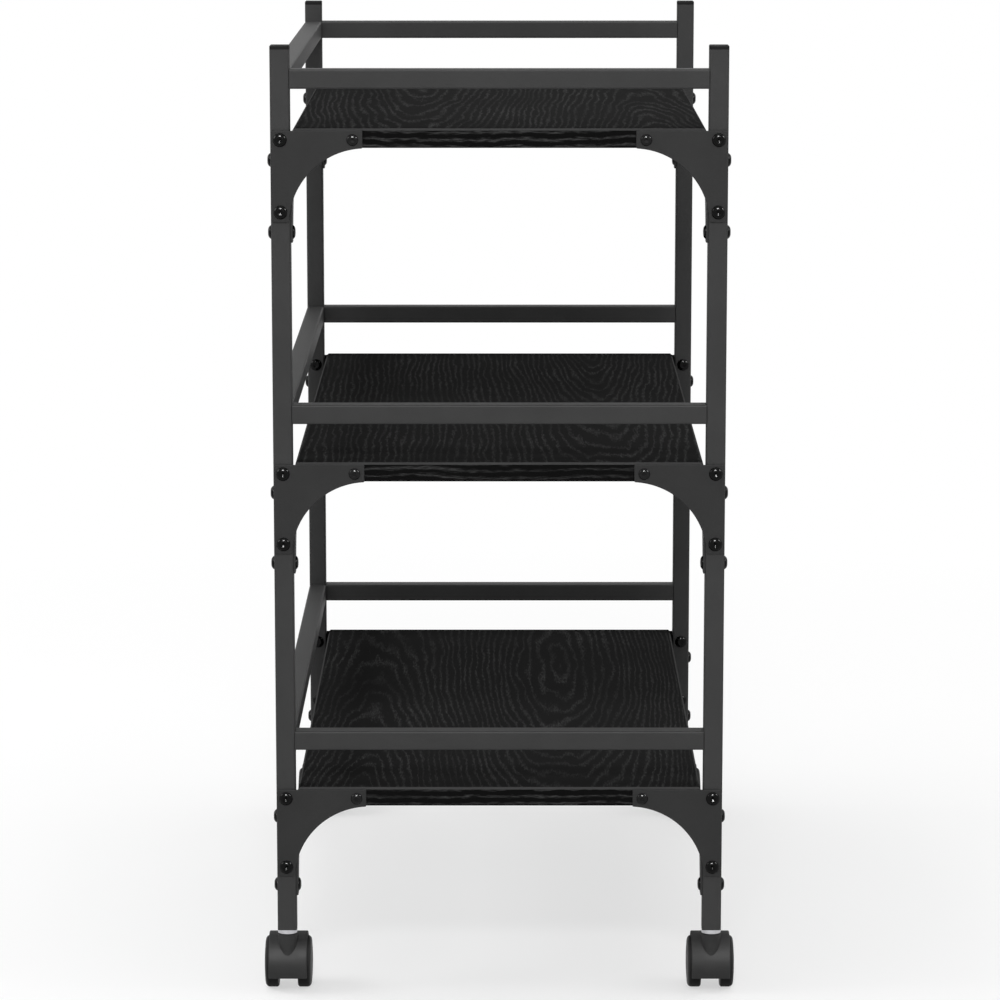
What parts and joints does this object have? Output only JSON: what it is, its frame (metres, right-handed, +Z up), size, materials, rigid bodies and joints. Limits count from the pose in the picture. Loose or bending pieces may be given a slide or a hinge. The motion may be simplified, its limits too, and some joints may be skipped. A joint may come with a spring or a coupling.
{
  "type": "kitchen trolley",
  "caption": "Narrow kitchen trolley: square-tube steel frame with guard rails, open wood-grain shelves bolted on with curved corner plates, on hooded swivel casters.",
  "frame": {"origin": "on the floor under the middle of the trolley", "axes": "+Z up, +X across an end towards the open long side, +Y along the long sides"},
  "size_m": [0.373, 0.608, 0.748],
  "materials": {
    "frame_steel": "black powder coat, satin",
    "plate_steel": "black powder coat, satin",
    "board": "black wood-grain laminate, matte",
    "fasteners": "black, glossy",
    "cap_plastic": "moulded black",
    "stem_metal": "bright plated",
    "hood_plastic": "satin black",
    "wheel_plastic": "satin black",
    "axle_steel": "ground"
  },
  "bodies": {
    "frame": {"leg_near_left": "frame_steel", "leg_near_right": "frame_steel", "leg_far_left": "frame_steel", "leg_far_right": "frame_steel", "leg_cap_near_left": "cap_plastic", "leg_cap_near_right": "cap_plastic", "leg_cap_far_left": "cap_plastic", "leg_cap_far_right": "cap_plastic", "rail_near_lower": "frame_steel", "rail_far_lower": "frame_steel", "rail_left_lower": "frame_steel", "rail_near_middle": "frame_steel", "rail_far_middle": "frame_steel", "rail_left_middle": "frame_steel", "rail_near_upper": "frame_steel", "rail_far_upper": "frame_steel", "rail_left_upper": "frame_steel", "shelf_lower": "board", "shelf_middle": "board", "shelf_upper": "board", "end_plate_lower_near_left": "plate_steel", "end_plate_lower_near_right": "plate_steel", "end_plate_lower_far_left": "plate_steel", "end_plate_lower_far_right": "plate_steel", "end_plate_middle_near_left": "plate_steel", "end_plate_middle_near_right": "plate_steel", "end_plate_middle_far_left": "plate_steel", "end_plate_middle_far_right": "plate_steel", "end_plate_upper_near_left": "plate_steel", "end_plate_upper_near_right": "plate_steel", "end_plate_upper_far_left": "plate_steel", "end_plate_upper_far_right": "plate_steel", "side_brackets_lower": "plate_steel", "side_brackets_middle": "plate_steel", "side_brackets_upper": "plate_steel", "leg_bolts": "fasteners", "cap_nuts": "fasteners", "edge_screws": "fasteners", "flange_screws": "fasteners", "caster_inserts": "cap_plastic", "caster_stems": "stem_metal"},
    "caster_near_left": {"caster_hood_near_left": "hood_plastic", "caster_axle_near_left": "axle_steel"},
    "caster_near_right": {"caster_hood_near_right": "hood_plastic", "caster_axle_near_right": "axle_steel"},
    "caster_far_left": {"caster_hood_far_left": "hood_plastic", "caster_axle_far_left": "axle_steel"},
    "caster_far_right": {"caster_hood_far_right": "hood_plastic", "caster_axle_far_right": "axle_steel"},
    "caster_wheel_near_left_inner": {"wheel_near_left_inner": "wheel_plastic"},
    "caster_wheel_near_left_outer": {"wheel_near_left_outer": "wheel_plastic"},
    "caster_wheel_near_right_inner": {"wheel_near_right_inner": "wheel_plastic"},
    "caster_wheel_near_right_outer": {"wheel_near_right_outer": "wheel_plastic"},
    "caster_wheel_far_left_inner": {"wheel_far_left_inner": "wheel_plastic"},
    "caster_wheel_far_left_outer": {"wheel_far_left_outer": "wheel_plastic"},
    "caster_wheel_far_right_inner": {"wheel_far_right_inner": "wheel_plastic"},
    "caster_wheel_far_right_outer": {"wheel_far_right_outer": "wheel_plastic"}
  },
  "joints": [
    {"name": "swivel_near_left", "type": "hinge", "parent": "frame", "child": "caster_near_left", "pos_m": [-0.1675, -0.2925, 0.04], "axis": [0, 0, 1], "continuous": true},
    {"name": "swivel_near_right", "type": "hinge", "parent": "frame", "child": "caster_near_right", "pos_m": [0.1675, -0.2925, 0.04], "axis": [0, 0, 1], "continuous": true},
    {"name": "swivel_far_left", "type": "hinge", "parent": "frame", "child": "caster_far_left", "pos_m": [-0.1675, 0.2925, 0.04], "axis": [0, 0, 1], "continuous": true},
    {"name": "swivel_far_right", "type": "hinge", "parent": "frame", "child": "caster_far_right", "pos_m": [0.1675, 0.2925, 0.04], "axis": [0, 0, 1], "continuous": true},
    {"name": "roll_near_left_inner", "type": "hinge", "parent": "caster_near_left", "child": "caster_wheel_near_left_inner", "pos_m": [-0.1675, -0.2775, 0.0205], "axis": [1, 0, 0], "continuous": true},
    {"name": "roll_near_left_outer", "type": "hinge", "parent": "caster_near_left", "child": "caster_wheel_near_left_outer", "pos_m": [-0.1675, -0.2775, 0.0205], "axis": [1, 0, 0], "continuous": true},
    {"name": "roll_near_right_inner", "type": "hinge", "parent": "caster_near_right", "child": "caster_wheel_near_right_inner", "pos_m": [0.1675, -0.2775, 0.0205], "axis": [1, 0, 0], "continuous": true},
    {"name": "roll_near_right_outer", "type": "hinge", "parent": "caster_near_right", "child": "caster_wheel_near_right_outer", "pos_m": [0.1675, -0.2775, 0.0205], "axis": [1, 0, 0], "continuous": true},
    {"name": "roll_far_left_inner", "type": "hinge", "parent": "caster_far_left", "child": "caster_wheel_far_left_inner", "pos_m": [-0.1675, 0.2775, 0.0205], "axis": [1, 0, 0], "continuous": true},
    {"name": "roll_far_left_outer", "type": "hinge", "parent": "caster_far_left", "child": "caster_wheel_far_left_outer", "pos_m": [-0.1675, 0.2775, 0.0205], "axis": [1, 0, 0], "continuous": true},
    {"name": "roll_far_right_inner", "type": "hinge", "parent": "caster_far_right", "child": "caster_wheel_far_right_inner", "pos_m": [0.1675, 0.2775, 0.0205], "axis": [1, 0, 0], "continuous": true},
    {"name": "roll_far_right_outer", "type": "hinge", "parent": "caster_far_right", "child": "caster_wheel_far_right_outer", "pos_m": [0.1675, 0.2775, 0.0205], "axis": [1, 0, 0], "continuous": true}
  ]
}
